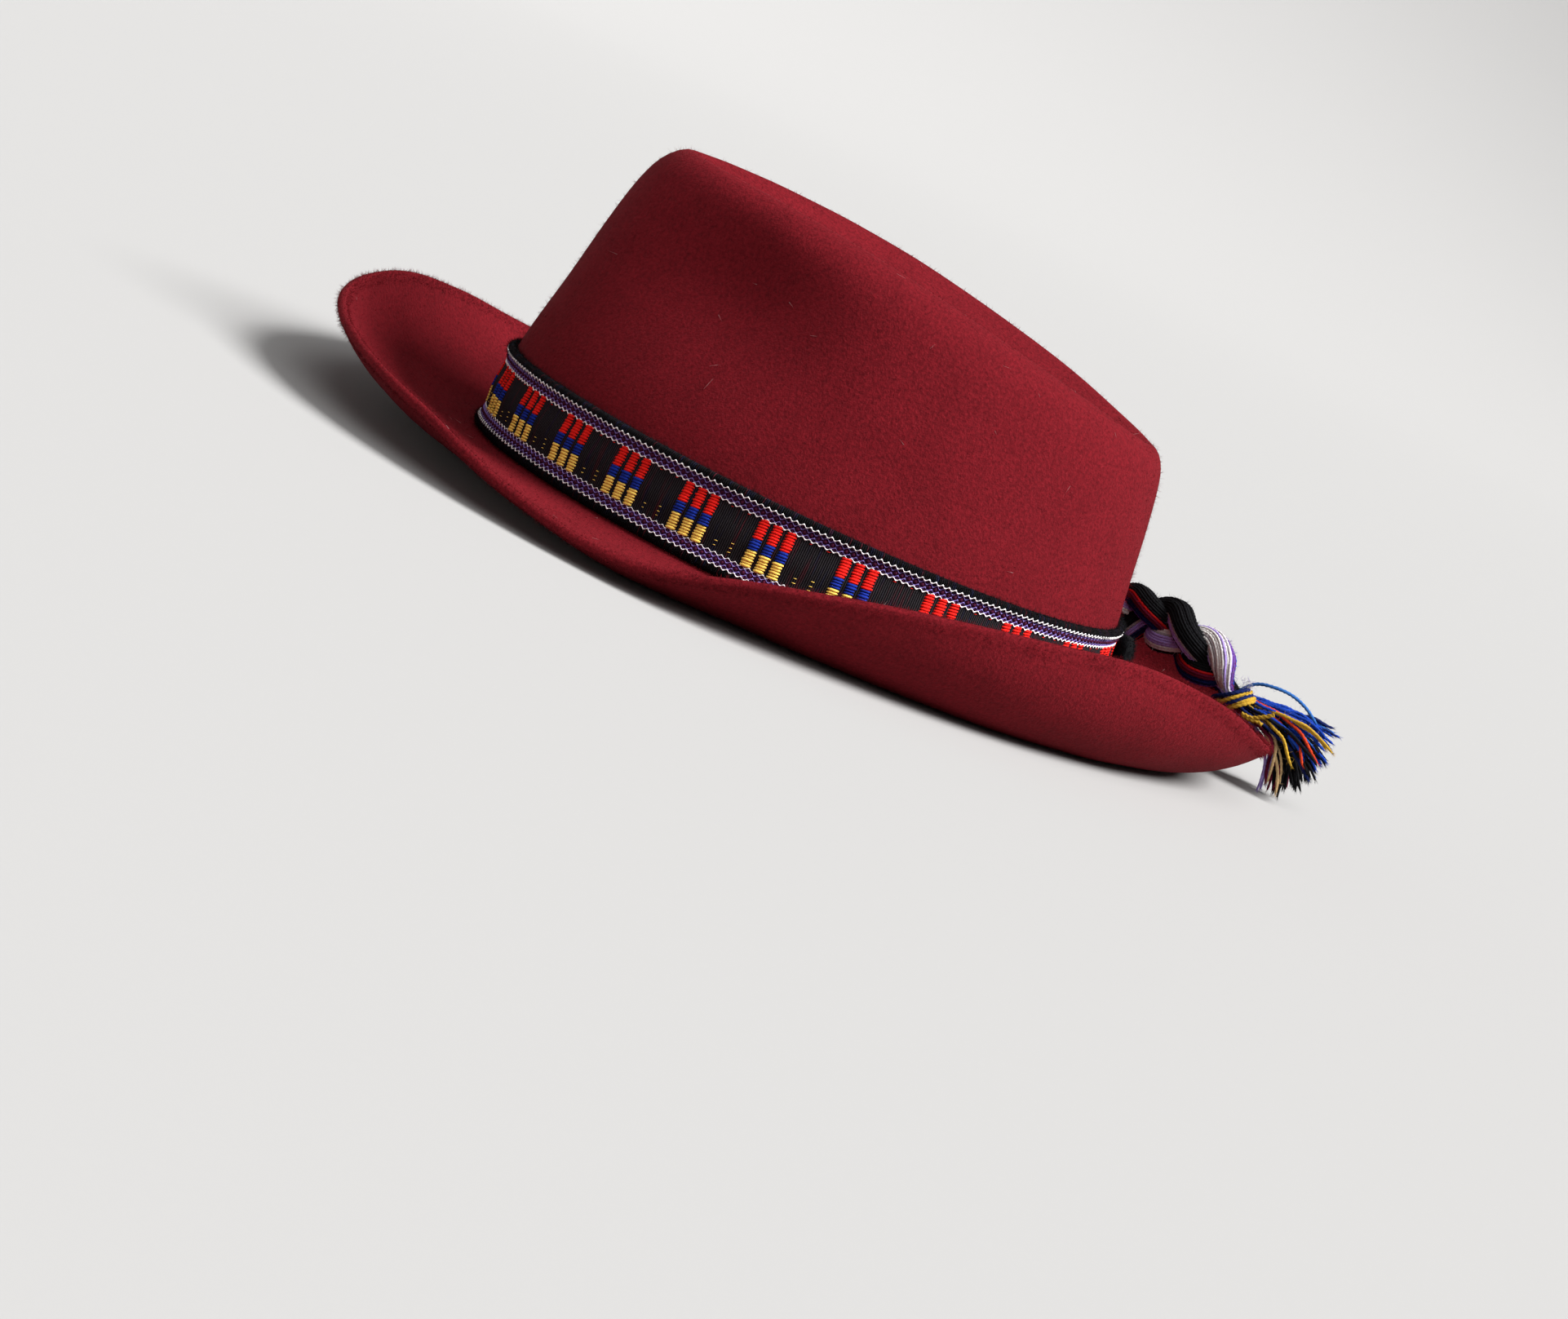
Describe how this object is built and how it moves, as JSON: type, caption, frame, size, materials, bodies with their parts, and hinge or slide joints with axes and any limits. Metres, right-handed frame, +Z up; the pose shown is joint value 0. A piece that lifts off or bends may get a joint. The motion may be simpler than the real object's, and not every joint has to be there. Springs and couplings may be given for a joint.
{
  "type": "tyrolean hat",
  "caption": "Red wool-felt hat with a creased, pinched crown, a brim turned up at the back, and a woven patterned belt whose ends are plaited into a tassel.",
  "frame": {"origin": "middle of the hat's box, at the level of the surface that it rests on", "axes": "+Z up out of the crown, the hat's front toward -Y, the wearer's left toward +X"},
  "size_m": [0.2814, 0.3199, 0.1034],
  "materials": {
    "felt": "matt wool felt with a short fuzz",
    "woven_band": "coloured pattern weave on black",
    "band_end": "black fuzzy yarn",
    "braid": "plaited yarn, black, white, lilac, blue and red",
    "tie_thread": "wound yellow and navy thread",
    "tassel_yarn": "loose yarn of mixed colours"
  },
  "bodies": {
    "root": {"crown_and_brim": "felt", "band": "woven_band", "band_end": "band_end", "braid": "braid", "tassel_tie": "tie_thread", "tassel": "tassel_yarn"}
  },
  "joints": []
}
